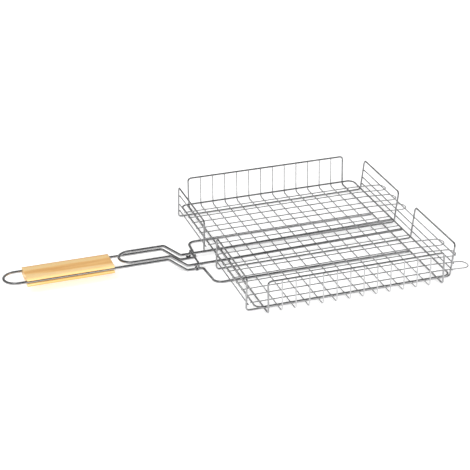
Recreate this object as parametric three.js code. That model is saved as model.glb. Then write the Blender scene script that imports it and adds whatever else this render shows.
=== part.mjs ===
// Grill basket: a square wire basket on a heavy wire that is both its two bars and its long handle
// with a wooden grip, and a flat wire lid whose tongues hinge in a ladder of wires at the far side.
//
// Millimetres, +Z up. The handle points along -X, the lid's tongues along +X, the end walls face
// +Y and -Y. The origin is the centre of the footprint, on the surface the basket stands on.
import * as THREE from 'three';

// ---------------------------------------------------------------- driving dimensions
const gap = 0.3;               // clearance kept where wires are welded or rest on each other

const thinRadius = 0.9;        // floor wires, ladder wires and tongues
const ringRadius = 1.3;        // lid ring, end wall ring and side rings
const heavyRadius = 2.0;       // the handle wires of the basket and of the lid
const clipRadius = 1.5;

const lidHalfX = 142;          // centre line of the lid ring
const lidHalfY = 177;
const lidCornerRadius = 10;

const endWallHalfX = 127.6;    // centre lines of the end walls
const endWallY = 184.6;
const endWallRise = 40;        // top wire above the lid ring
const floorWireCount = 12;

const panelX = 150.7;          // side panels, measured level with the lid ring
const panelInnerY = 29.8;
const panelOuterY = 161.3;
const panelRise = 38.2;        // top wire above the lid ring
const panelLean = { right: 4.9, left: -1.3 };   // outward travel of a panel over its rise

// Ladder wires above the lid ring, from the top down.
const ladderRises = { right: [21, 8.7, -1.3], left: [23, 8.7, -1.3] };
const ladderOverhang = 1.8;    // how far a ladder wire runs past its last upright

const tongueReach = 185.4;     // outermost point of a tongue from the basket's centre
const tongueBendX = 134;       // from here to its tip a tongue slopes down
const tongueDrop = 2.7;
const tongueCentres = [67.2, 105.2, 145.1];
const tongueHalfWidth = 10.6;
const middleWireY = [-35.1, 0, 35.1];

const barY = 69.2;             // the two bars under the floor
const barEndX = 129;
const barCornerX = -164;       // where a bar turns towards the handle
const barCornerRadius = 12;
const legCornerX = -167;       // where it turns again to become a leg of the basket handle
const legCornerRadius = 5;

const handleHalfWidth = 18;    // half the distance between the two legs of a handle loop
const basketHandle = { tipReach: 450, stepLowX: -191, stepHighX: -217.5, rise: 21.3 };
const lidHandle = { tipReach: 286.3, stepLowX: -190, stepHighX: -214.5, rise: 18.9 };
const lidBarBendX = -140;      // right of here the lid handle's legs climb to the lid ring

const gripEndX = -296;
const gripLength = 123;
const gripHalfWidth = 21.5;
const gripAboveWire = 5.6;
const gripBelowWire = 6.7;
const gripChamfer = { across: 4, down: 2.2 };

const clipX = -174.8;
const clipFootZ = 1;
const clipBendRadius = 2.5;
const clipCurlRadius = 2.4;

const wallBendRadius = 4.5;
const wallCornerRadius = 5;
const stepBendRadius = 8;
const gentleBendRadius = 40;
const arcStep = Math.PI / 8;   // turn of a bend between two sections

// ---------------------------------------------------------------- levels, from the bottom up
const barZ = heavyRadius;
const underFloorZ = 2 * heavyRadius;
const sideFloorZ = underFloorZ - ringRadius;
const floorWireZ = underFloorZ + gap + thinRadius;
const endFloorZ = underFloorZ + gap + ringRadius;
const lidLegZ = endFloorZ + ringRadius + gap + heavyRadius;
const lidRingZ = lidLegZ + heavyRadius + gap + ringRadius;
const lidWireZ = lidRingZ - ringRadius - gap - thinRadius;
const endWallTopZ = lidRingZ + endWallRise;
const panelTopZ = lidRingZ + panelRise;
const basketHandleZ = barZ + basketHandle.rise;

const basketCentreX = (basketHandle.tipReach - tongueReach) / 2;

// ---------------------------------------------------------------- materials
const steel = (color) => new THREE.MeshStandardMaterial({ color, roughness: 0.25, metalness: 1 });
const thinSteel = steel(0xb8babd);
const ringSteel = steel(0xb0b2b5);
const heavySteel = steel(0x9b9da1);
const wood = new THREE.MeshStandardMaterial({ color: 0xe3bd7c, roughness: 0.6, metalness: 0 });

// ---------------------------------------------------------------- bent wires
const at = (x, y, z, bendRadius = 0) => ({ point: new THREE.Vector3(x, y, z), bendRadius });

// The points and directions of one rounded corner, from where the wire starts to turn to where
// it runs straight again.
function cornerSections(before, corner, after) {
  const incoming = corner.point.clone().sub(before.point).normalize();
  const outgoing = after.point.clone().sub(corner.point).normalize();
  const turn = incoming.angleTo(outgoing);
  const setback = corner.bendRadius * Math.tan(turn / 2);
  const start = corner.point.clone().addScaledVector(incoming, -setback);
  const inward = outgoing.clone().addScaledVector(incoming, -incoming.dot(outgoing)).normalize();
  const centre = start.clone().addScaledVector(inward, corner.bendRadius);
  const steps = Math.max(2, Math.round(turn / arcStep));
  return Array.from({ length: steps + 1 }, (_, i) => {
    const angle = (turn * i) / steps;
    const point = centre.clone()
      .addScaledVector(inward, -corner.bendRadius * Math.cos(angle))
      .addScaledVector(incoming, corner.bendRadius * Math.sin(angle));
    const direction = incoming.clone().multiplyScalar(Math.cos(angle))
      .addScaledVector(inward, Math.sin(angle));
    return { point, direction };
  });
}

// A wire's centre line: straight runs and round bends, with a section only where one is needed.
class WirePath extends THREE.Curve {
  constructor(corners, closed = false) {
    super();
    const count = corners.length;
    const sections = [];
    corners.forEach((corner, i) => {
      const before = corners[(i + count - 1) % count];
      const after = corners[(i + 1) % count];
      if (!closed && i === 0) {
        sections.push({ point: corner.point, direction: after.point.clone().sub(corner.point) });
      } else if (!closed && i === count - 1) {
        sections.push({ point: corner.point, direction: corner.point.clone().sub(before.point) });
      } else {
        sections.push(...cornerSections(before, corner, after));
      }
    });
    if (closed) sections.push(sections[0]);
    this.sections = sections.filter(
      (section, i) => i === 0 || section.point.distanceTo(sections[i - 1].point) > 0.01,
    );
    this.steps = this.sections.length - 1;
  }

  sectionAt(u) {
    return this.sections[Math.round(u * this.steps)];
  }

  getPointAt(u, target = new THREE.Vector3()) {
    return target.copy(this.sectionAt(u).point);
  }

  getTangentAt(u, target = new THREE.Vector3()) {
    return target.copy(this.sectionAt(u).direction).normalize();
  }
}

// An eight-sided section whose flats lie one wire radius from the centre.
function wireSection(radius) {
  const sides = 8;
  const cornerDistance = radius / Math.cos(Math.PI / sides);
  return new THREE.Shape(Array.from({ length: sides }, (_, i) => {
    const angle = ((i + 0.5) * 2 * Math.PI) / sides;
    return new THREE.Vector2(Math.cos(angle), Math.sin(angle)).multiplyScalar(cornerDistance);
  }));
}

function part(name, geometry, material) {
  const mesh = new THREE.Mesh(geometry, material);
  mesh.name = name;
  return mesh;
}

function wire(name, corners, radius, material) {
  const path = new WirePath(corners);
  const geometry = new THREE.ExtrudeGeometry(wireSection(radius), {
    steps: path.steps,
    extrudePath: path,
    bevelEnabled: false,
  });
  return part(name, geometry, material);
}

function closedWire(name, corners, radius, material) {
  const path = new WirePath(corners, true);
  return part(name, new THREE.TubeGeometry(path, path.steps, radius, 8, true), material);
}

// ---------------------------------------------------------------- basket
// One closed wire: two legs across the floor and the outline of both end walls.
function endWallRing() {
  const x = endWallHalfX;
  const wall = (side) => [
    at(side * x, side * endWallY, endFloorZ, wallBendRadius),
    at(side * x, side * endWallY, endWallTopZ, wallCornerRadius),
    at(-side * x, side * endWallY, endWallTopZ, wallCornerRadius),
    at(-side * x, side * endWallY, endFloorZ, wallBendRadius),
  ];
  return closedWire('end_wall_ring', [...wall(1), ...wall(-1)], ringRadius, ringSteel);
}

function floorWire(index) {
  const pitch = (2 * endWallHalfX) / (floorWireCount + 1);
  const x = -endWallHalfX + pitch * (index + 1);
  const top = endWallTopZ - ringRadius - gap;
  const corners = [
    at(x, endWallY, top),
    at(x, endWallY, floorWireZ, wallBendRadius),
    at(x, -endWallY, floorWireZ, wallBendRadius),
    at(x, -endWallY, top),
  ];
  return wire(`floor_wire_${index + 1}`, corners, thinRadius, thinSteel);
}

const outward = { right: 1, left: -1 };

// Where the centre line of a side panel's uprights is at height z.
function uprightX(side, z) {
  return outward[side] * (panelX + (panelLean[side] * (z - lidRingZ)) / panelRise);
}

// One closed wire: two legs under the floor wires and the outline of a left and a right panel.
function sideRing(name, end) {
  const inner = end * panelInnerY;
  const outer = end * panelOuterY;
  const panel = (side, first, second) => {
    const foot = uprightX(side, sideFloorZ);
    const top = uprightX(side, panelTopZ);
    return [
      at(foot, first, sideFloorZ, wallBendRadius),
      at(top, first, panelTopZ, wallCornerRadius),
      at(top, second, panelTopZ, wallCornerRadius),
      at(foot, second, sideFloorZ, wallBendRadius),
    ];
  };
  const corners = [...panel('right', inner, outer), ...panel('left', outer, inner)];
  return closedWire(name, corners, ringRadius, ringSteel);
}

// On both sides a ladder wire lies on the +X side of its uprights.
function ladderWire(name, side, rise, fromY, toY) {
  const z = lidRingZ + rise;
  const x = uprightX(side, z) + ringRadius + gap + thinRadius;
  return wire(name, [at(x, fromY, z), at(x, toY, z)], thinRadius, thinSteel);
}

function ladders() {
  const inner = panelInnerY - ladderOverhang;
  const outer = panelOuterY + ladderOverhang;
  const { right, left } = ladderRises;
  return ['top', 'middle', 'bottom'].flatMap((level, i) => [
    ladderWire(`hinge_ladder_${level}`, 'right', right[i], -outer, outer),
    ladderWire(`rear_left_rung_${level}`, 'left', left[i], inner, outer),
    ladderWire(`front_left_rung_${level}`, 'left', left[i], -outer, -inner),
  ]);
}

// ---------------------------------------------------------------- handles
// A loop of heavy wire. Its two legs begin as legStart says, run level to the step, climb it and
// close in a half circle at the tip.
function handleLoop(name, size, legZ, legStart) {
  const tipX = heavyRadius - size.tipReach;
  const highZ = legZ + size.rise;
  const leg = (y) => [
    ...legStart(y),
    at(size.stepLowX, y, legZ, stepBendRadius),
    at(size.stepHighX, y, highZ, stepBendRadius),
    at(tipX, y, highZ, handleHalfWidth),
  ];
  const corners = [...leg(handleHalfWidth), ...leg(-handleHalfWidth).reverse()];
  return wire(name, corners, heavyRadius, heavySteel);
}

// Each leg of the basket handle starts as a bar under the floor and turns in to the handle.
function basketHandleLoop() {
  return handleLoop('basket_handle', basketHandle, barZ, (y) => [
    at(barEndX, Math.sign(y) * barY, barZ),
    at(barCornerX, Math.sign(y) * barY, barZ, barCornerRadius),
    at(legCornerX, y, barZ, legCornerRadius),
  ]);
}

// The grip's cross-section in Y and Z, measured from the wires: a chamfered block with a
// round-bottomed groove in each side, where the legs of the basket handle lie.
function gripProfile() {
  const grooveRadius = heavyRadius / Math.cos(Math.PI / 8) + gap;
  const half = [
    [gripHalfWidth - gripChamfer.across, -gripBelowWire],
    [gripHalfWidth, -gripBelowWire + gripChamfer.down],
    [gripHalfWidth, -grooveRadius],
    [gripHalfWidth, grooveRadius],
    [gripHalfWidth, gripAboveWire - gripChamfer.down],
    [gripHalfWidth - gripChamfer.across, gripAboveWire],
  ];
  const [lowEdge, lowSide, grooveLow, grooveHigh, highSide, highEdge] = half;
  const quarter = Math.PI / 2;
  const shape = new THREE.Shape();
  shape.moveTo(...lowEdge);
  shape.lineTo(...lowSide);
  shape.lineTo(...grooveLow);
  shape.absarc(handleHalfWidth, 0, grooveRadius, -quarter, quarter, true);
  shape.lineTo(...grooveHigh);
  shape.lineTo(...highSide);
  shape.lineTo(...highEdge);
  shape.lineTo(-highEdge[0], highEdge[1]);
  shape.lineTo(-highSide[0], highSide[1]);
  shape.lineTo(-grooveHigh[0], grooveHigh[1]);
  shape.absarc(-handleHalfWidth, 0, grooveRadius, quarter, -quarter, true);
  shape.lineTo(-grooveLow[0], grooveLow[1]);
  shape.lineTo(-lowSide[0], lowSide[1]);
  shape.lineTo(-lowEdge[0], lowEdge[1]);
  return shape;
}

function grip() {
  const geometry = new THREE.ExtrudeGeometry(gripProfile(), {
    depth: gripLength,
    bevelEnabled: false,
    curveSegments: 6,
  });
  const mesh = part('grip', geometry, wood);
  const along = new THREE.Vector3(1, 0, 0);
  const across = new THREE.Vector3(0, 1, 0);
  const up = new THREE.Vector3(0, 0, 1);
  mesh.setRotationFromMatrix(new THREE.Matrix4().makeBasis(across, up, along));
  mesh.position.set(gripEndX - gripLength, 0, basketHandleZ);
  return mesh;
}

// ---------------------------------------------------------------- lid
function lidRing() {
  const corners = [[1, -1], [1, 1], [-1, 1], [-1, -1]].map(
    ([x, y]) => at(x * lidHalfX, y * lidHalfY, lidRingZ, lidCornerRadius),
  );
  return closedWire('lid_ring', corners, ringRadius, ringSteel);
}

function tongue(name, centreY) {
  const tipX = tongueReach - thinRadius;
  const startX = -lidHalfX - ringRadius;
  const near = centreY - tongueHalfWidth;
  const far = centreY + tongueHalfWidth;
  const tipZ = lidWireZ - tongueDrop;
  const corners = [
    at(startX, far, lidWireZ),
    at(tongueBendX, far, lidWireZ, gentleBendRadius),
    at(tipX, far, tipZ, tongueHalfWidth),
    at(tipX, near, tipZ, tongueHalfWidth),
    at(tongueBendX, near, lidWireZ, gentleBendRadius),
    at(startX, near, lidWireZ),
  ];
  return wire(name, corners, thinRadius, thinSteel);
}

function tongues() {
  const centres = [...tongueCentres].reverse().concat(tongueCentres.map((y) => -y));
  return centres.map((y, i) => tongue(`tongue_${i + 1}`, y));
}

function middleWires() {
  const reach = lidHalfX + ringRadius;
  return middleWireY.map((y, i) => wire(
    `lid_middle_wire_${i + 1}`,
    [at(-reach, y, lidWireZ), at(reach, y, lidWireZ)],
    thinRadius,
    thinSteel,
  ));
}

// The lid handle's legs run under the lid ring's near side and climb to meet its far side.
function lidHandleLoop() {
  const endX = lidHalfX - ringRadius - gap;
  return handleLoop('lid_handle', lidHandle, lidLegZ, (y) => [
    at(endX, y, lidRingZ),
    at(lidBarBendX, y, lidLegZ, gentleBendRadius),
  ]);
}

// ---------------------------------------------------------------- clip
// A bent wire that straddles both handle wires and slides along the lid handle. Beside each wire
// of the basket handle it ends in a foot that curls back and up.
function handleClip() {
  const top = lidLegZ + heavyRadius + gap + clipRadius;
  const low = clipFootZ + clipRadius;
  const backX = clipX - 2 * clipCurlRadius;
  const curlTop = low + 2 * clipCurlRadius;
  const leg = (side) => {
    const y = side * (handleHalfWidth + heavyRadius + gap + clipRadius);
    return [
      at(clipX - clipCurlRadius, y, curlTop),
      at(backX, y, curlTop, clipCurlRadius),
      at(backX, y, low, clipCurlRadius),
      at(clipX, y, low, clipCurlRadius),
      at(clipX, y, top, clipBendRadius),
    ];
  };
  return wire('handle_clip', [...leg(1), ...leg(-1).reverse()], clipRadius, thinSteel);
}

// ---------------------------------------------------------------- assembly
const group = new THREE.Group();
group.position.x = basketCentreX;
group.add(endWallRing());
for (let i = 0; i < floorWireCount; i += 1) group.add(floorWire(i));
group.add(sideRing('rear_side_ring', 1), sideRing('front_side_ring', -1));
group.add(...ladders());
group.add(basketHandleLoop(), grip());
group.add(lidRing(), ...tongues(), ...middleWires(), lidHandleLoop());
group.add(handleClip());

export default group;
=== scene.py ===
"""Grill basket: a chrome wire basket and lid, two long wire handles and a wooden grip.

Metres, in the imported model's frame: the handle points along -X, the lid's tongues along +X, +Y is
the rear and +Z is up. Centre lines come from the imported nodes' boxes. The sizes named below only
add what a box can't say, such as where a wire bends and how tightly.
"""

import math

import bmesh
import bpy
from mathutils import Matrix, Quaternion, Vector


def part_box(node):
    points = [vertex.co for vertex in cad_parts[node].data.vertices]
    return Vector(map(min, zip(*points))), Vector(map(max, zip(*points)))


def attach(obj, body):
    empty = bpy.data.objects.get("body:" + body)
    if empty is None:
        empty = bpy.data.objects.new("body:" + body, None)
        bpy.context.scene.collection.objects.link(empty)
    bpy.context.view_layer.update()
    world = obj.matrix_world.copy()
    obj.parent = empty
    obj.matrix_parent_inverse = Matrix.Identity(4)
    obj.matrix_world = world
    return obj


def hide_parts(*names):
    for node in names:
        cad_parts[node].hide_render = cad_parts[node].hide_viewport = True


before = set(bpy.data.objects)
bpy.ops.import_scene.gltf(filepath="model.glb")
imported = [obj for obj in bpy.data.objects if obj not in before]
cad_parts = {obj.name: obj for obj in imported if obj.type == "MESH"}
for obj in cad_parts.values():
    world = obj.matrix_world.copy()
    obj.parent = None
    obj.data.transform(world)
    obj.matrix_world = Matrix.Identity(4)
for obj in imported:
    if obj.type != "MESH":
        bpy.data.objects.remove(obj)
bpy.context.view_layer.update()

MM = 0.001

# ---------------------------------------------------------------- sizes that a box can't give
LID_CORNER = 10 * MM            # bend radii, at the centre line
WALL_BEND = 4.5 * MM
WALL_CORNER = 5 * MM
STEP_BEND = 8 * MM
GENTLE_BEND = 40 * MM
BAR_CORNER = 12 * MM
LEG_CORNER = 5 * MM
CLIP_BEND = 2.5 * MM
CLIP_CURL = 2.4 * MM
CLIP_RADIUS = 1.5 * MM

TONGUE_BEND_X = 134 * MM        # places along X, measured from the basket's centre
LID_BAR_BEND_X = -140 * MM
BASKET_HANDLE_STEP = (-191 * MM, -217.5 * MM)
LID_HANDLE_STEP = (-190 * MM, -214.5 * MM)

BAR_CORNER_X = -164 * MM        # where a bar under the floor turns in to the handle
LEG_CORNER_X = -167 * MM        # where it turns again to become a leg of the basket handle
CLEARANCE = 0.3 * MM            # between a ladder wire and the uprights that it is welded to

GRIP_SHOULDER_ACROSS = 4.6 * MM
GRIP_SHOULDER_DOWN = 2.6 * MM
GRIP_FOOT_ACROSS = 3.0 * MM
GRIP_FOOT_DOWN = 2.0 * MM
GROOVE_CLEARANCE = 0.45 * MM
GRIP_EDGE = 0.7 * MM            # easing of the grip's sharp edges
EASED_ANGLE = math.radians(50)  # edges that turn by more than this are eased
SHARP_ANGLE = math.radians(45)  # edges that turn by more than this are shaded sharp

# ---------------------------------------------------------------- mesh resolution
ARC_STEP = math.radians(7.5)    # turn of a bend between two rings of vertices
SIDES = {"thin": 14, "ring": 16, "heavy": 24}
END_STEPS = 4                   # rounding of a cut end
GRIP_STEPS = 24                 # divisions along the grip
CORNER_STEPS = 6                # divisions of its rounded corners
GROOVE_STEPS = 12               # divisions of its grooves
WIRE_COORD = "wire_coord"       # point attribute: distance along a wire, and place in its section

# ---------------------------------------------------------------- shares of a wire's radius
END_DEPTH = 0.45                # how far the rounding of a cut end reaches along the wire
END_FACE = 0.55                 # radius of the flat that is left on a cut end
WELD_SINK = 0.72                # distance from a wire's centre line at which a weld starts
WELD_NECK = 0.62                # radius of a weld at its narrowest, from the thinner wire
WELD_FLARE = 0.45               # how much wider a weld is where it meets a wire
WELD_SIDES = 12
WELD_STEPS = 6


# ---------------------------------------------------------------- bent wires
def bend(before, corner, after, radius):
    """The points of a round bend, from where the wire starts to turn to where it is straight."""
    incoming = (corner - before).normalized()
    outgoing = (after - corner).normalized()
    turn = incoming.angle(outgoing)
    inward = (outgoing - incoming * incoming.dot(outgoing)).normalized()
    start = corner - incoming * radius * math.tan(turn / 2)
    centre = start + inward * radius
    steps = max(2, math.ceil(turn / ARC_STEP))
    angles = [turn * i / steps for i in range(steps + 1)]
    return [centre - inward * radius * math.cos(a) + incoming * radius * math.sin(a) for a in angles]


def centre_line(corners, closed):
    """The points of a wire that runs straight between its corners, each a point and a radius."""
    count = len(corners)
    points = []
    for i, (corner, radius) in enumerate(corners):
        if not closed and i in (0, count - 1):
            points.append(corner)
        else:
            points += bend(corners[i - 1][0], corner, corners[(i + 1) % count][0], radius)
    kept = [p for i, p in enumerate(points) if i == 0 or (p - points[i - 1]).length > 1e-6]
    if closed and (kept[0] - kept[-1]).length < 1e-6:
        kept.pop()
    return kept


def section_frames(points, closed):
    """A pair of directions across the wire at each point, turned as little as possible."""
    count = len(points)
    tangents = []
    for i, point in enumerate(points):
        before = points[i - 1] if closed or i > 0 else None
        after = points[(i + 1) % count] if closed or i < count - 1 else None
        arriving = (point - before).normalized() if before is not None else Vector()
        leaving = (after - point).normalized() if after is not None else Vector()
        tangents.append((arriving + leaving).normalized())
    side = tangents[0].orthogonal().normalized()
    sides = [side]
    for i in range(1, count):
        side = tangents[i - 1].rotation_difference(tangents[i]) @ side
        sides.append((side - tangents[i] * side.dot(tangents[i])).normalized())
    if closed:
        arrived = tangents[-1].rotation_difference(tangents[0]) @ sides[-1]
        twist = math.atan2(arrived.cross(sides[0]).dot(tangents[0]), arrived.dot(sides[0]))
        sides = [Quaternion(tangents[i], twist * i / count) @ s for i, s in enumerate(sides)]
    return [(s, t.cross(s), t) for s, t in zip(sides, tangents)]


class Shape:
    """Vertices, faces and wire coordinates that become one mesh."""

    def __init__(self):
        self.points, self.faces, self.coords = [], [], []

    def ring(self, points, coords):
        first = len(self.points)
        self.points += points
        self.coords += coords
        return list(range(first, len(self.points)))

    def join(self, ring, following):
        count = len(ring)
        for i in range(count):
            j = (i + 1) % count
            self.faces.append((ring[i], ring[j], following[j], following[i]))

    def mesh(self, name):
        mesh = bpy.data.meshes.new(name)
        mesh.from_pydata(self.points, [], self.faces)
        attribute = mesh.attributes.new(WIRE_COORD, "FLOAT_VECTOR", "POINT")
        attribute.data.foreach_set("vector", [value for coord in self.coords for value in coord])
        mesh.polygons.foreach_set("use_smooth", [True] * len(mesh.polygons))
        mesh.validate()
        return mesh


def add_wire(shape, corners, radius, sides, closed=False):
    """A round wire. An open one has its two cut ends slightly rounded."""
    points = centre_line(corners, closed)
    frames = section_frames(points, closed)
    angles = [2 * math.pi * k / sides for k in range(sides)]

    def ring(centre, directions, ring_radius, along):
        across, up, _ = directions
        offsets = [(ring_radius * math.cos(a), ring_radius * math.sin(a)) for a in angles]
        return shape.ring(
            [centre + across * x + up * y for x, y in offsets],
            [(along, x, y) for x, y in offsets],
        )

    travelled = [0.0]
    for before, point in zip(points, points[1:]):
        travelled.append(travelled[-1] + (point - before).length)
    stations = list(zip(points, frames, [radius] * len(points), travelled))
    if not closed:
        stations = rounded_end(stations[0], 1) + stations[1:-1] + rounded_end(stations[-1], -1)[::-1]
    rings = [ring(*station) for station in stations]
    for ring_now, ring_next in zip(rings, rings[1:]):
        shape.join(ring_now, ring_next)
    if closed:
        shape.join(rings[-1], rings[0])
    else:
        shape.faces += [tuple(reversed(rings[0])), tuple(rings[-1])]


def rounded_end(station, inward):
    """The last few sections of a cut wire, from the end face inwards along the wire."""
    point, directions, radius, along = station
    sections = []
    for i in range(END_STEPS + 1):
        angle = math.pi / 2 * i / END_STEPS
        shift = inward * END_DEPTH * radius * (1 - math.cos(angle))
        width = radius * (END_FACE + (1 - END_FACE) * math.sin(angle))
        sections.append((point + directions[2] * shift, directions, width, along + shift))
    return sections


def add_weld(shape, lower, upper):
    """The small saddle of metal that joins two wires where they cross, each wire a point on its
    centre line, its direction there and its radius."""
    (point_a, along_a, radius_a), (point_b, along_b, radius_b) = lower, upper
    normal = (point_b - point_a).normalized()
    along_a = (along_a - normal * along_a.dot(normal)).normalized()
    along_b = normal.cross(along_a)
    start, end = radius_a * WELD_SINK, (point_b - point_a).length - radius_b * WELD_SINK
    narrow = WELD_NECK * min(radius_a, radius_b)
    rings = []
    for i in range(WELD_STEPS + 1):
        t = i / WELD_STEPS
        flare_a = 1 + WELD_FLARE * (1 - t) ** 3
        flare_b = 1 + WELD_FLARE * t ** 3
        centre = point_a + normal * (start + (end - start) * t)
        points = []
        for k in range(WELD_SIDES):
            angle = 2 * math.pi * k / WELD_SIDES
            points.append(
                centre
                + along_a * (narrow * flare_a * math.cos(angle))
                + along_b * (narrow * flare_b * math.sin(angle))
            )
        rings.append(shape.ring(points, [tuple(p) for p in points]))
    for ring_now, ring_next in zip(rings, rings[1:]):
        shape.join(ring_now, ring_next)
    shape.faces += [tuple(reversed(rings[0])), tuple(rings[-1])]


# ---------------------------------------------------------------- materials
def new_material(name):
    material = bpy.data.materials.new(name)
    material.use_nodes = True
    material.node_tree.nodes.clear()
    return material, material.node_tree


def add_node(tree, kind, inputs=None, **settings):
    """A node with its settings and inputs. An input is a value, or an output to link from."""
    made = tree.nodes.new(kind)
    for key, value in settings.items():
        setattr(made, key, value)
    for key, value in (inputs or {}).items():
        if isinstance(value, bpy.types.NodeSocket):
            tree.links.new(value, made.inputs[key])
        else:
            made.inputs[key].default_value = value
    return made


def add_noise(tree, vector, scale, detail=3.0, roughness=0.55, distortion=0.0):
    """Noise over a vector whose axes are stretched by scale."""
    mapped = add_node(tree, "ShaderNodeMapping", {"Vector": vector, "Scale": scale})
    inputs = {
        "Vector": mapped.outputs["Vector"],
        "Scale": 1.0,
        "Detail": detail,
        "Roughness": roughness,
        "Distortion": distortion,
    }
    return add_node(tree, "ShaderNodeTexNoise", inputs).outputs["Fac"]


def add_range(tree, value, from_low, from_high, to_low, to_high):
    inputs = {
        "Value": value,
        "From Min": from_low,
        "From Max": from_high,
        "To Min": to_low,
        "To Max": to_high,
    }
    return add_node(tree, "ShaderNodeMapRange", inputs).outputs["Result"]


def add_ramp(tree, value, stops):
    ramp = add_node(tree, "ShaderNodeValToRGB", {"Fac": value})
    elements = ramp.color_ramp.elements
    while len(elements) < len(stops):
        elements.new(0.5)
    for element, (position, colour) in zip(elements, stops):
        element.position = position
        element.color = (*colour, 1.0)
    return ramp.outputs["Color"]


def add_bump(tree, height, distance, strength, normal=None):
    inputs = {"Height": height, "Distance": distance, "Strength": strength}
    if normal is not None:
        inputs["Normal"] = normal
    return add_node(tree, "ShaderNodeBump", inputs).outputs["Normal"]


def finish_material(tree, inputs):
    shader = add_node(tree, "ShaderNodeBsdfPrincipled", inputs)
    output = tree.nodes.new("ShaderNodeOutputMaterial")
    tree.links.new(shader.outputs["BSDF"], output.inputs["Surface"])


def chrome(name, dark, light, roughness):
    """Bright plating over drawn wire: fine lines along the wire, soft cloudy patches, and
    roughness that varies with both."""
    material, tree = new_material(name)
    coord = add_node(tree, "ShaderNodeAttribute", attribute_name=WIRE_COORD).outputs["Vector"]
    lines = add_noise(tree, coord, (35, 2200, 2200))
    clouds = add_noise(tree, coord, (55, 240, 240), detail=4.0)
    grain = add_noise(tree, coord, (3200, 3200, 3200), detail=2.0)
    colour = add_ramp(tree, clouds, [(0.30, dark), (0.68, light)])
    low, high = roughness
    rough_clouds = add_range(tree, clouds, 0.35, 0.70, low, high)
    rough = add_node(
        tree, "ShaderNodeMath", {0: rough_clouds, 1: add_range(tree, lines, 0.3, 0.7, 0.85, 1.25)},
        operation="MULTIPLY",
    ).outputs["Value"]
    drawn = add_bump(tree, lines, 0.02 * MM, 0.35)
    bumped = add_bump(tree, grain, 0.01 * MM, 0.25, drawn)
    finish_material(tree, {
        "Base Color": colour,
        "Metallic": 1.0,
        "Roughness": rough,
        "Normal": bumped,
    })
    return material


def wood(name):
    """Pale smooth wood: growth rings that run along X, fine fibres and pores."""
    material, tree = new_material(name)
    coord = add_node(tree, "ShaderNodeTexCoord").outputs["Object"]
    broad = add_noise(tree, coord, (9, 120, 120), detail=2.0, distortion=0.6)
    fibres = add_noise(tree, coord, (45, 1500, 1500), detail=4.0, roughness=0.65)
    pores = add_noise(tree, coord, (140, 2600, 2600), detail=1.0)
    rings_at = add_node(tree, "ShaderNodeMapping", {
        "Vector": coord,
        "Location": (0.0, 0.020, 0.035),
        "Scale": (0.10, 1.0, 1.0),
    }).outputs["Vector"]
    rings = add_node(
        tree, "ShaderNodeTexWave",
        {"Vector": rings_at, "Scale": 42.0, "Distortion": 5.0, "Detail": 2.0, "Detail Scale": 1.2},
        wave_type="RINGS", rings_direction="X",
    ).outputs["Fac"]
    figure = add_node(
        tree, "ShaderNodeMix", {0: 0.45, 2: broad, 3: rings}, data_type="FLOAT",
    ).outputs[0]
    mixed = add_node(
        tree, "ShaderNodeMix", {0: 0.30, 2: figure, 3: fibres}, data_type="FLOAT",
    ).outputs[0]
    body = add_ramp(tree, mixed, [
        (0.32, (0.78, 0.41, 0.120)),
        (0.46, (0.90, 0.54, 0.185)),
        (0.62, (0.94, 0.65, 0.290)),
    ])
    pore_share = add_range(tree, pores, 0.60, 0.74, 0.0, 0.30)
    colour = add_node(
        tree, "ShaderNodeMix", {0: pore_share, 6: body, 7: (0.42, 0.21, 0.07, 1.0)},
        data_type="RGBA",
    ).outputs[2]
    rough = add_range(tree, mixed, 0.3, 0.7, 0.52, 0.38)
    grain = add_bump(tree, fibres, 0.12 * MM, 0.5)
    bumped = add_bump(tree, pores, 0.08 * MM, 0.3, grain)
    finish_material(tree, {
        "Base Color": colour,
        "Roughness": rough,
        "Normal": bumped,
        "Coat Weight": 0.1,
        "Coat Roughness": 0.3,
    })
    return material


# One chrome plating in four greys. The differences between them are painted reflection and shade, not
# different metals: lightest on the thin wires, darker on the ring and heavy wires, darkest on the clip.
THIN_CHROME = chrome("thin_chrome", (0.52, 0.52, 0.525), (0.70, 0.70, 0.705), (0.16, 0.28))
RING_CHROME = chrome("ring_chrome", (0.31, 0.31, 0.315), (0.46, 0.46, 0.465), (0.15, 0.26))
HEAVY_CHROME = chrome("heavy_chrome", (0.34, 0.34, 0.345), (0.49, 0.49, 0.495), (0.16, 0.28))
CLIP_CHROME = chrome("clip_chrome", (0.20, 0.20, 0.205), (0.32, 0.32, 0.325), (0.16, 0.30))
GRIP_WOOD = wood("grip_wood")

# what each of the record's slots is drawn with: mesh sides and material
FINISH = {
    "thin_wire": (SIDES["thin"], THIN_CHROME),
    "ring_wire": (SIDES["ring"], RING_CHROME),
    "heavy_wire": (SIDES["heavy"], HEAVY_CHROME),
    "clip_wire": (SIDES["thin"], CLIP_CHROME),
}


# ---------------------------------------------------------------- pieces
def add_piece(name, mesh, material, body, nodes):
    piece = bpy.data.objects.new(name, mesh)
    bpy.context.scene.collection.objects.link(piece)
    mesh.materials.append(material)
    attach(piece, body)
    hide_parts(*nodes)
    return piece


def wire_piece(node, corners, radius, body, slot, closed=False, welds=()):
    """The round wire that stands for a node, with the welds that hold it to others."""
    sides, material = FINISH[slot]
    shape = Shape()
    add_wire(shape, corners, radius, sides, closed)
    for lower, upper in welds:
        add_weld(shape, lower, upper)
    return add_piece(node + "_round", shape.mesh(node), material, body, [node])


def core(node, radius):
    """The lowest and highest corners of a wire's centre line."""
    low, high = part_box(node)
    inset = Vector((radius, radius, radius))
    return low + inset, high - inset


def half_height(node):
    """The radius of a level wire."""
    low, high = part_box(node)
    return (high.z - low.z) / 2


X, Y, Z = Vector((1, 0, 0)), Vector((0, 1, 0)), Vector((0, 0, 1))

THIN = half_height("hinge_ladder_top")
RING = half_height("lid_ring")
HEAVY = 2 * MM                  # neither handle's box gives its wire's radius by itself

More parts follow.
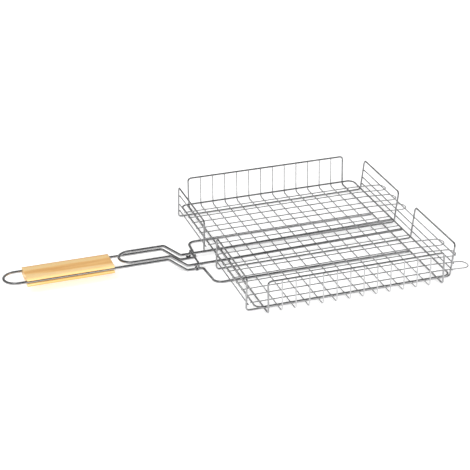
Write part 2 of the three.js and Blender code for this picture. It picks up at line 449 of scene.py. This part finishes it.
WALL_LOW, WALL_HIGH = core("end_wall_ring", RING)
CENTRE_X = (WALL_LOW.x + WALL_HIGH.x) / 2
LID_LOW, LID_HIGH = core("lid_ring", RING)
BAR_LOW, BAR_HIGH = core("basket_handle", HEAVY)
BAR_Y, BAR_Z = BAR_HIGH.y, BAR_LOW.z
LEG_Y = core("lid_handle", HEAVY)[1].y      # both handles have their legs at the same place
SIDE_LOW, SIDE_HIGH = core("rear_side_ring", RING)
WIRES_UNDER_FLOOR = [           # place across, height and radius of each wire along X
    (side * y, z, radius)
    for side in (1, -1)
    for y, z, radius in (
        (BAR_Y, BAR_Z, HEAVY),
        (SIDE_LOW.y, SIDE_LOW.z, RING),
        (SIDE_HIGH.y, SIDE_LOW.z, RING),
    )
]
FLOOR_WIRES = sorted(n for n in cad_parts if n.startswith("floor_wire_"))
TONGUES = sorted(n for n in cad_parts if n.startswith("tongue_"))
MIDDLE_WIRES = sorted(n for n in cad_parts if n.startswith("lid_middle_wire_"))


def end_walls():
    def wall(side):
        y = side * WALL_HIGH.y
        xs = (WALL_HIGH.x, WALL_LOW.x) if side > 0 else (WALL_LOW.x, WALL_HIGH.x)
        return [
            (Vector((xs[0], y, WALL_LOW.z)), WALL_BEND),
            (Vector((xs[0], y, WALL_HIGH.z)), WALL_CORNER),
            (Vector((xs[1], y, WALL_HIGH.z)), WALL_CORNER),
            (Vector((xs[1], y, WALL_LOW.z)), WALL_BEND),
        ]

    welds = []
    for x in (WALL_LOW.x, WALL_HIGH.x):
        for y, z, radius in WIRES_UNDER_FLOOR:
            leg = (Vector((x, y, WALL_LOW.z)), Y, RING)
            welds.append(((Vector((x, y, z)), X, radius), leg))
    wire_piece("end_wall_ring", wall(1) + wall(-1), RING, "basket", "ring_wire", True, welds)


def floor_wires():
    for node in FLOOR_WIRES:
        low, high = core(node, THIN)
        x, top = (low.x + high.x) / 2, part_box(node)[1].z
        corners = [
            (Vector((x, high.y, top)), 0),
            (Vector((x, high.y, low.z)), WALL_BEND),
            (Vector((x, low.y, low.z)), WALL_BEND),
            (Vector((x, low.y, top)), 0),
        ]
        welds = [
            ((Vector((x, y, z)), X, radius), (Vector((x, y, low.z)), Y, THIN))
            for y, z, radius in WIRES_UNDER_FLOOR
        ]
        for y in (WALL_HIGH.y, -WALL_HIGH.y):
            rim = (Vector((x, y, WALL_HIGH.z)), X, RING)
            tip = (Vector((x, y, top - THIN)), Y, THIN)
            welds.append((tip, rim))
        wire_piece(node, corners, THIN, "basket", "thin_wire", welds=welds)


def middle_of(node):
    low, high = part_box(node)
    return (low + high) / 2


def upright_x(side, z):
    """Where the line of a panel's uprights is at a height. Their ladder wires lie on its +X side."""
    name = {"right": "hinge_ladder_", "left": "rear_left_rung_"}[side]
    bottom, top = middle_of(name + "bottom"), middle_of(name + "top")
    ladder_x = bottom.x + (top.x - bottom.x) * (z - bottom.z) / (top.z - bottom.z)
    return ladder_x - RING - CLEARANCE - THIN


def side_rings():
    for node, end in (("rear_side_ring", 1), ("front_side_ring", -1)):
        inner, outer = end * SIDE_LOW.y, end * SIDE_HIGH.y
        corners = []
        for side, first, second in (("right", inner, outer), ("left", outer, inner)):
            foot, top = upright_x(side, SIDE_LOW.z), upright_x(side, SIDE_HIGH.z)
            corners += [
                (Vector((foot, first, SIDE_LOW.z)), WALL_BEND),
                (Vector((top, first, SIDE_HIGH.z)), WALL_CORNER),
                (Vector((top, second, SIDE_HIGH.z)), WALL_CORNER),
                (Vector((foot, second, SIDE_LOW.z)), WALL_BEND),
            ]
        wire_piece(node, corners, RING, "basket", "ring_wire", True)


def ladder_wire(node, side):
    low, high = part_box(node)
    x, z = middle_of(node).x, middle_of(node).z
    welds = []
    for y in (-SIDE_HIGH.y, -SIDE_LOW.y, SIDE_LOW.y, SIDE_HIGH.y):
        if low.y < y < high.y:
            upright = (Vector((upright_x(side, z), y, z)), Z, RING)
            welds.append((upright, (Vector((x, y, z)), Y, THIN)))
    corners = [(Vector((x, low.y, z)), 0), (Vector((x, high.y, z)), 0)]
    wire_piece(node, corners, THIN, "basket", "thin_wire", welds=welds)


def ladders():
    for level in ("top", "middle", "bottom"):
        ladder_wire(f"hinge_ladder_{level}", "right")
        ladder_wire(f"rear_left_rung_{level}", "left")
        ladder_wire(f"front_left_rung_{level}", "left")


def handle_loop(node, body, step, leg_start, welds=()):
    """A loop of heavy wire: two legs that start as leg_start says, climb a step and close in a
    half circle at the tip."""
    low, high = core(node, HEAVY)
    low_x, high_x = (CENTRE_X + x for x in step)

    def leg(y):
        return leg_start(y) + [
            (Vector((low_x, y, low.z)), STEP_BEND),
            (Vector((high_x, y, high.z)), STEP_BEND),
            (Vector((low.x, y, high.z)), LEG_Y),
        ]

    corners = leg(LEG_Y) + leg(-LEG_Y)[::-1]
    wire_piece(node, corners, HEAVY, body, "heavy_wire", welds=welds)


def basket_handle():
    """Two bars under the floor that turn in to the handle and become its legs."""
    end_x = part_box("basket_handle")[1].x

    def start(y):
        bar_y = math.copysign(BAR_Y, y)
        return [
            (Vector((end_x, bar_y, BAR_Z)), 0),
            (Vector((CENTRE_X + BAR_CORNER_X, bar_y, BAR_Z)), BAR_CORNER),
            (Vector((CENTRE_X + LEG_CORNER_X, y, BAR_Z)), LEG_CORNER),
        ]

    handle_loop("basket_handle", "basket", BASKET_HANDLE_STEP, start)


def lid_handle():
    end_x, bend_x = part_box("lid_handle")[1].x, CENTRE_X + LID_BAR_BEND_X
    leg_z = core("lid_handle", HEAVY)[0].z
    welds = []
    for y in (-LEG_Y, LEG_Y):
        ring_near, ring_far = Vector((LID_LOW.x, y, LID_LOW.z)), Vector((LID_HIGH.x, y, LID_LOW.z))
        under, end = Vector((LID_LOW.x, y, leg_z)), Vector((end_x - HEAVY, y, LID_LOW.z))
        welds.append(((under, X, HEAVY), (ring_near, Y, RING)))
        welds.append(((end, Y, HEAVY), (ring_far, Y, RING)))

    def start(y):
        return [
            (Vector((end_x, y, LID_LOW.z)), 0),
            (Vector((bend_x, y, leg_z)), GENTLE_BEND),
        ]

    handle_loop("lid_handle", "lid", LID_HANDLE_STEP, start, welds)


def lid_ring():
    z = LID_LOW.z
    outline = [
        (LID_HIGH.x, LID_LOW.y),
        (LID_HIGH.x, LID_HIGH.y),
        (LID_LOW.x, LID_HIGH.y),
        (LID_LOW.x, LID_LOW.y),
    ]
    corners = [(Vector((x, y, z)), LID_CORNER) for x, y in outline]
    wire_piece("lid_ring", corners, RING, "lid", "ring_wire", True)


def ring_welds(y, near_z, far_z):
    """The welds of a lid wire that runs under both sides of the lid ring."""
    return [
        ((Vector((x, y, z)), X, THIN), (Vector((x, y, LID_LOW.z)), Y, RING))
        for x, z in ((LID_LOW.x, near_z), (LID_HIGH.x, far_z))
    ]


def tongues():
    for node in TONGUES:
        low, high = core(node, THIN)
        start_x, bend_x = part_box(node)[0].x, CENTRE_X + TONGUE_BEND_X
        radius = (high.y - low.y) / 2
        slope = (high.z - low.z) / (high.x - bend_x)
        far_z = high.z - slope * (LID_HIGH.x - bend_x)
        corners = [
            (Vector((start_x, high.y, high.z)), 0),
            (Vector((bend_x, high.y, high.z)), GENTLE_BEND),
            (Vector((high.x, high.y, low.z)), radius),
            (Vector((high.x, low.y, low.z)), radius),
            (Vector((bend_x, low.y, high.z)), GENTLE_BEND),
            (Vector((start_x, low.y, high.z)), 0),
        ]
        welds = ring_welds(low.y, high.z, far_z) + ring_welds(high.y, high.z, far_z)
        wire_piece(node, corners, THIN, "lid", "thin_wire", welds=welds)


def middle_wires():
    for node in MIDDLE_WIRES:
        low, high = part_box(node)
        y, z = middle_of(node).y, middle_of(node).z
        corners = [(Vector((low.x, y, z)), 0), (Vector((high.x, y, z)), 0)]
        wire_piece(node, corners, THIN, "lid", "thin_wire", welds=ring_welds(y, z, z))


def clip():
    """A bar over both legs of the lid handle, with a foot on each side that curls back and up."""
    low, high = core("handle_clip", CLIP_RADIUS)
    curl_x, curl_z = high.x - CLIP_CURL, low.z + 2 * CLIP_CURL

    def leg(y):
        return [
            (Vector((curl_x, y, curl_z)), 0),
            (Vector((low.x, y, curl_z)), CLIP_CURL),
            (Vector((low.x, y, low.z)), CLIP_CURL),
            (Vector((high.x, y, low.z)), CLIP_CURL),
            (Vector((high.x, y, high.z)), CLIP_BEND),
        ]

    corners = leg(high.y) + leg(-high.y)[::-1]
    wire_piece("handle_clip", corners, CLIP_RADIUS, "clip", "clip_wire")


# ---------------------------------------------------------------- grip
def grip_outline(low, high, wire_y, wire_z):
    """The grip's cross-section as (y, z) points: rounded shoulders, and a round groove in each
    side where a leg of the handle lies."""
    groove = HEAVY + GROOVE_CLEARANCE

    def quarter(centre, across, down, start):
        points = []
        for i in range(CORNER_STEPS + 1):
            angle = start + math.pi / 2 * i / CORNER_STEPS
            points.append((centre[0] + across * math.cos(angle), centre[1] + down * math.sin(angle)))
        return points

    foot = (high.y - GRIP_FOOT_ACROSS, low.z + GRIP_FOOT_DOWN)
    shoulder = (high.y - GRIP_SHOULDER_ACROSS, high.z - GRIP_SHOULDER_DOWN)
    right = quarter(foot, GRIP_FOOT_ACROSS, GRIP_FOOT_DOWN, -math.pi / 2)
    right.append((high.y, wire_z - groove))
    for i in range(GROOVE_STEPS + 1):
        angle = -math.pi / 2 - math.pi * i / GROOVE_STEPS
        right.append((wire_y + groove * math.cos(angle), wire_z + groove * math.sin(angle)))
    right.append((high.y, wire_z + groove))
    right += quarter(shoulder, GRIP_SHOULDER_ACROSS, GRIP_SHOULDER_DOWN, 0)
    return right + [(-y, z) for y, z in reversed(right)]


def grip():
    low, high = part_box("grip")
    outline = grip_outline(low, high, LEG_Y, BAR_HIGH.z)
    made = bmesh.new()
    rings = []
    for i in range(GRIP_STEPS + 1):
        x = low.x + (high.x - low.x) * i / GRIP_STEPS
        rings.append([made.verts.new((x, y, z)) for y, z in outline])
    for ring_now, ring_next in zip(rings, rings[1:]):
        for k in range(len(outline)):
            j = (k + 1) % len(outline)
            made.faces.new((ring_now[k], ring_now[j], ring_next[j], ring_next[k]))
    made.faces.new(rings[0])
    made.faces.new(list(reversed(rings[-1])))
    bmesh.ops.remove_doubles(made, verts=made.verts, dist=1e-6)
    bmesh.ops.recalc_face_normals(made, faces=made.faces)
    made.normal_update()
    sharp = [e for e in made.edges if e.is_manifold and e.calc_face_angle() > EASED_ANGLE]
    bmesh.ops.bevel(
        made, geom=sharp, offset=GRIP_EDGE, segments=4, profile=0.5, affect="EDGES", clamp_overlap=True,
    )
    mesh = bpy.data.meshes.new("grip")
    made.to_mesh(mesh)
    made.free()
    mesh.polygons.foreach_set("use_smooth", [True] * len(mesh.polygons))
    mesh.set_sharp_from_angle(angle=SHARP_ANGLE)
    add_piece("grip_wooden", mesh, GRIP_WOOD, "basket", ["grip"])


for build in (
    end_walls, floor_wires, side_rings, ladders, basket_handle, grip,
    lid_ring, tongues, middle_wires, lid_handle, clip,
):
    build()

# ---------------------------------------------------------------- floor, light and camera
FLOOR_HALF = 15.0
FLOOR_GLOW = 0.45               # light that the studio paper gives off by itself
WORLD_GREY = 0.18
LIGHTS = [  # name, position, size, power
    ("key", (-1.4, -1.6, 2.6), 1.0, 10.0),
    ("fill", (1.8, -1.2, 2.0), 0.8, 5.0),
    ("back", (0.3, 2.4, 2.2), 1.2, 10.0),
]
SUN_STRENGTH = 3.4
SUN_DIRECTION = (0.5, 1.0, -0.8)
SUN_ANGLE = math.radians(60)

CAMERA_TARGET = Vector((35.2, 48.8, 12.5)) * MM
CAMERA_AZIMUTH = math.radians(-17.913)
CAMERA_ELEVATION = math.radians(25.353)
CAMERA_ROLL = math.radians(-0.941)
CAMERA_DISTANCE = 2164.0 * MM
CAMERA_LENS = 112.6
SENSOR_WIDTH = 36.0


def floor_paper(name):
    """Matt off-white studio paper with a faint tooth, lit from below as on a light table."""
    material, tree = new_material(name)
    coord = add_node(tree, "ShaderNodeTexCoord").outputs["Object"]
    tooth = add_noise(tree, coord, (900, 900, 900), detail=2.0)
    clouds = add_noise(tree, coord, (3, 3, 3), detail=2.0)
    colour = add_ramp(tree, clouds, [(0.3, (0.83, 0.83, 0.83)), (0.7, (0.85, 0.85, 0.85))])
    finish_material(tree, {
        "Base Color": colour,
        "Roughness": add_range(tree, clouds, 0.3, 0.7, 0.85, 0.95),
        "Specular IOR Level": 0.2,
        "Emission Color": (1.0, 1.0, 1.0, 1.0),
        "Emission Strength": FLOOR_GLOW,
        "Normal": add_bump(tree, tooth, 0.1 * MM, 0.1),
    })
    return material


def add_floor():
    mesh = bpy.data.meshes.new("floor")
    corners = [(-1, -1), (1, -1), (1, 1), (-1, 1)]
    mesh.from_pydata([(x * FLOOR_HALF, y * FLOOR_HALF, 0.0) for x, y in corners], [], [(0, 1, 2, 3)])
    mesh.materials.append(floor_paper("floor_paper"))
    floor = bpy.data.objects.new("floor", mesh)
    floor.location.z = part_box("basket_handle")[0].z
    bpy.context.scene.collection.objects.link(floor)


def add_lights():
    world = bpy.data.worlds.new("studio")
    world.use_nodes = True
    background = world.node_tree.nodes["Background"]
    background.inputs["Color"].default_value = (WORLD_GREY, WORLD_GREY, WORLD_GREY, 1.0)
    background.inputs["Strength"].default_value = 1.0
    bpy.context.scene.world = world
    for name, place, size, power in LIGHTS:
        data = bpy.data.lights.new(name, "AREA")
        data.shape = "SQUARE"
        data.size = size
        data.energy = power
        light = bpy.data.objects.new(name, data)
        light.location = place
        light.rotation_euler = (-Vector(place)).to_track_quat("-Z", "Y").to_euler()
        bpy.context.scene.collection.objects.link(light)
    data = bpy.data.lights.new("sun", "SUN")
    data.energy = SUN_STRENGTH
    data.angle = SUN_ANGLE
    sun = bpy.data.objects.new("sun", data)
    sun.rotation_euler = Vector(SUN_DIRECTION).to_track_quat("-Z", "Y").to_euler()
    sun.visible_glossy = False
    bpy.context.scene.collection.objects.link(sun)


def add_camera():
    cos_e, sin_e = math.cos(CAMERA_ELEVATION), math.sin(CAMERA_ELEVATION)
    back = Vector((math.sin(CAMERA_AZIMUTH) * cos_e, -math.cos(CAMERA_AZIMUTH) * cos_e, sin_e))
    level = Vector((math.cos(CAMERA_AZIMUTH), math.sin(CAMERA_AZIMUTH), 0.0))
    upward = back.cross(level)
    right = level * math.cos(CAMERA_ROLL) + upward * math.sin(CAMERA_ROLL)
    up = upward * math.cos(CAMERA_ROLL) - level * math.sin(CAMERA_ROLL)
    data = bpy.data.cameras.new("camera")
    data.lens = CAMERA_LENS
    data.sensor_width = SENSOR_WIDTH
    data.clip_end = 100.0
    camera = bpy.data.objects.new("camera", data)
    turned = Matrix((right, up, back)).transposed().to_4x4()
    camera.matrix_world = Matrix.Translation(CAMERA_TARGET + back * CAMERA_DISTANCE) @ turned
    bpy.context.scene.collection.objects.link(camera)
    bpy.context.scene.camera = camera


add_floor()
add_lights()
add_camera()
bpy.context.scene.view_settings.view_transform = "Standard"

bpy.context.view_layer.update()
